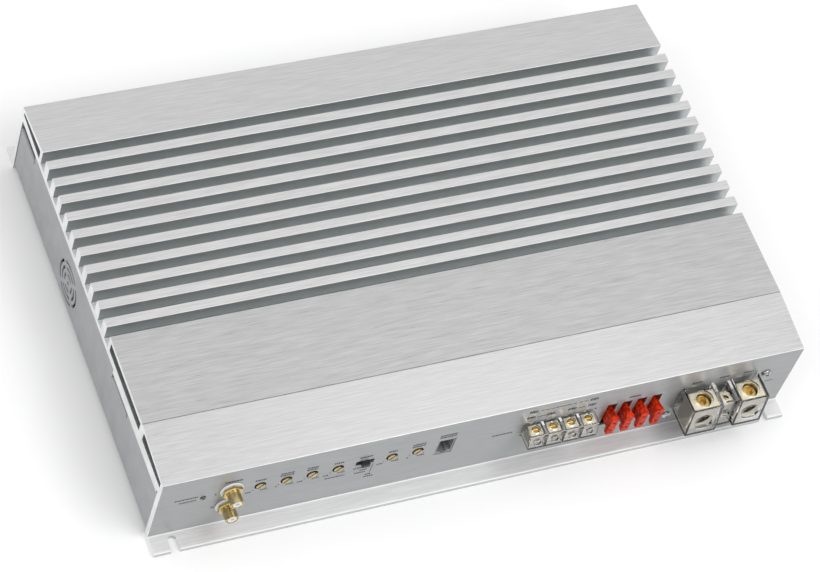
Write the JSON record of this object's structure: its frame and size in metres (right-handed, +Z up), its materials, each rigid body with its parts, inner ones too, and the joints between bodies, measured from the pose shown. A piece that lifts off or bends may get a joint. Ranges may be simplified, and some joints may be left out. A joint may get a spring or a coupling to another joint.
{
  "type": "car amplifier",
  "caption": "Wide, low car audio amplifier: finned aluminium extrusion with end flanges, and input sockets, trim controls, wire clamps and blade fuses along its front.",
  "frame": {"origin": "centre of the bounding box's underside, on the surface that the amplifier stands on", "axes": "+X along the case, towards its power terminals' end; -Y out of the front panel; +Z up"},
  "size_m": [0.42, 0.305, 0.0658],
  "materials": {
    "brushed_aluminium": "brushed, clear anodised",
    "grey_end_paint": "matte grey",
    "gold_plate": "gold plated",
    "pale_gold_plate": "pale gold plated, satin",
    "brass": "satin",
    "zinc_steel": "zinc plated",
    "black_steel": "blackened",
    "white_nylon": "satin",
    "black_plastic": "matte",
    "grey_plastic": "matte",
    "clear_plastic": "clear, faintly smoked",
    "fuse_red": "clear red, glossy",
    "led_lens": "unlit, dark",
    "board_green": "glass-epoxy board with solder mask",
    "copper": "enamelled copper wire"
  },
  "bodies": {
    "case": {"battery_terminal": "pale_gold_plate", "bottom_tray": "grey_end_paint", "control_board": "board_green", "fan_frame": "black_plastic", "fuse_holder": "black_plastic", "ground_terminal": "pale_gold_plate", "heatsink_extrusion": "brushed_aluminium", "main_board": "board_green", "mode_switch_body": "black_plastic", "output_inductor": "copper", "panel_screw_left": "zinc_steel", "panel_screw_right": "zinc_steel", "power_led": "led_lens", "power_terminal_cover": "clear_plastic", "power_transistor_back": "black_plastic", "power_transistor_front": "black_plastic", "rca_lower_insert": "white_nylon", "rca_lower_shell": "gold_plate", "rca_lower_washer": "white_nylon", "rca_upper_insert": "white_nylon", "rca_upper_shell": "gold_plate", "rca_upper_washer": "white_nylon", "remote_jack": "grey_plastic", "remote_terminal": "pale_gold_plate", "reservoir_capacitor_1": "black_plastic", "reservoir_capacitor_2": "black_plastic", "speaker_clamp_1": "pale_gold_plate", "speaker_clamp_2": "pale_gold_plate", "speaker_clamp_3": "pale_gold_plate", "speaker_clamp_4": "pale_gold_plate", "speaker_terminal_cover": "clear_plastic", "toroid_transformer_1": "copper", "toroid_transformer_2": "copper", "transistor_clamp_back": "zinc_steel", "transistor_clamp_front": "zinc_steel", "tray_screw_1": "black_steel", "tray_screw_2": "black_steel", "tray_screw_3": "black_steel", "tray_screw_4": "black_steel", "tray_screw_5": "black_steel", "tray_screw_6": "black_steel"},
    "fan_wheel": {"fan_rotor": "black_plastic"},
    "trim_1": {"trim_spindle_1": "brass"},
    "trim_2": {"trim_spindle_2": "brass"},
    "trim_3": {"trim_spindle_3": "brass"},
    "trim_4": {"trim_spindle_4": "brass"},
    "trim_5": {"trim_spindle_5": "brass"},
    "trim_6": {"trim_spindle_6": "brass"},
    "mode_knob": {"mode_switch_slider": "black_plastic"},
    "fuse_body_1": {"fuse_1": "fuse_red"},
    "fuse_body_2": {"fuse_2": "fuse_red"},
    "fuse_body_3": {"fuse_3": "fuse_red"},
    "fuse_body_4": {"fuse_4": "fuse_red"},
    "speaker_screw_body_1": {"speaker_screw_1": "gold_plate"},
    "speaker_screw_body_2": {"speaker_screw_2": "gold_plate"},
    "speaker_screw_body_3": {"speaker_screw_3": "gold_plate"},
    "speaker_screw_body_4": {"speaker_screw_4": "gold_plate"},
    "ground_screw_body": {"ground_set_screw": "gold_plate"},
    "remote_screw_body": {"remote_set_screw": "gold_plate"},
    "battery_screw_body": {"battery_set_screw": "gold_plate"}
  },
  "joints": [
    {"name": "fan_spin", "type": "hinge", "parent": "case", "child": "fan_wheel", "pos_m": [-0.205, 0.03485, 0.0236], "axis": [1, 0, 0], "continuous": true},
    {"name": "trim_1_turn", "type": "hinge", "parent": "case", "child": "trim_1", "pos_m": [-0.1458, -0.13215, 0.0375], "axis": [0, 1, 0], "range_deg": [-140, 140]},
    {"name": "trim_2_turn", "type": "hinge", "parent": "case", "child": "trim_2", "pos_m": [-0.1294, -0.13215, 0.0375], "axis": [0, 1, 0], "range_deg": [-140, 140]},
    {"name": "trim_3_turn", "type": "hinge", "parent": "case", "child": "trim_3", "pos_m": [-0.113, -0.13215, 0.0375], "axis": [0, 1, 0], "range_deg": [-140, 140]},
    {"name": "trim_4_turn", "type": "hinge", "parent": "case", "child": "trim_4", "pos_m": [-0.0966, -0.13215, 0.0375], "axis": [0, 1, 0], "range_deg": [-140, 140]},
    {"name": "trim_5_turn", "type": "hinge", "parent": "case", "child": "trim_5", "pos_m": [-0.062, -0.13215, 0.0375], "axis": [0, 1, 0], "range_deg": [-140, 140]},
    {"name": "trim_6_turn", "type": "hinge", "parent": "case", "child": "trim_6", "pos_m": [-0.0452, -0.13215, 0.0375], "axis": [0, 1, 0], "range_deg": [-140, 140]},
    {"name": "mode_slide", "type": "slide", "parent": "case", "child": "mode_knob", "axis": [1, 0, 0], "range_m": [-0.003, 0.003]},
    {"name": "fuse_1_pull", "type": "slide", "parent": "case", "child": "fuse_body_1", "axis": [0, -1, 0], "range_m": [0, 0.02]},
    {"name": "fuse_2_pull", "type": "slide", "parent": "case", "child": "fuse_body_2", "axis": [0, -1, 0], "range_m": [0, 0.02]},
    {"name": "fuse_3_pull", "type": "slide", "parent": "case", "child": "fuse_body_3", "axis": [0, -1, 0], "range_m": [0, 0.02]},
    {"name": "fuse_4_pull", "type": "slide", "parent": "case", "child": "fuse_body_4", "axis": [0, -1, 0], "range_m": [0, 0.02]},
    {"name": "speaker_screw_1_turn", "type": "hinge", "parent": "case", "child": "speaker_screw_body_1", "pos_m": [0.0297, -0.13675, 0.04], "axis": [0, 0, 1], "range_deg": [-720, 720]},
    {"name": "speaker_screw_2_turn", "type": "hinge", "parent": "case", "child": "speaker_screw_body_2", "pos_m": [0.0415, -0.13675, 0.04], "axis": [0, 0, 1], "range_deg": [-720, 720]},
    {"name": "speaker_screw_3_turn", "type": "hinge", "parent": "case", "child": "speaker_screw_body_3", "pos_m": [0.0533, -0.13675, 0.04], "axis": [0, 0, 1], "range_deg": [-720, 720]},
    {"name": "speaker_screw_4_turn", "type": "hinge", "parent": "case", "child": "speaker_screw_body_4", "pos_m": [0.0651, -0.13675, 0.04], "axis": [0, 0, 1], "range_deg": [-720, 720]},
    {"name": "ground_screw_turn", "type": "hinge", "parent": "case", "child": "ground_screw_body", "pos_m": [0.1417, -0.14205, 0.037], "axis": [0, 0, 1], "range_deg": [-720, 720]},
    {"name": "remote_screw_turn", "type": "hinge", "parent": "case", "child": "remote_screw_body", "pos_m": [0.1583, -0.14205, 0.037], "axis": [0, 0, 1], "range_deg": [-720, 720]},
    {"name": "battery_screw_turn", "type": "hinge", "parent": "case", "child": "battery_screw_body", "pos_m": [0.1741, -0.14205, 0.037], "axis": [0, 0, 1], "range_deg": [-720, 720]}
  ]
}
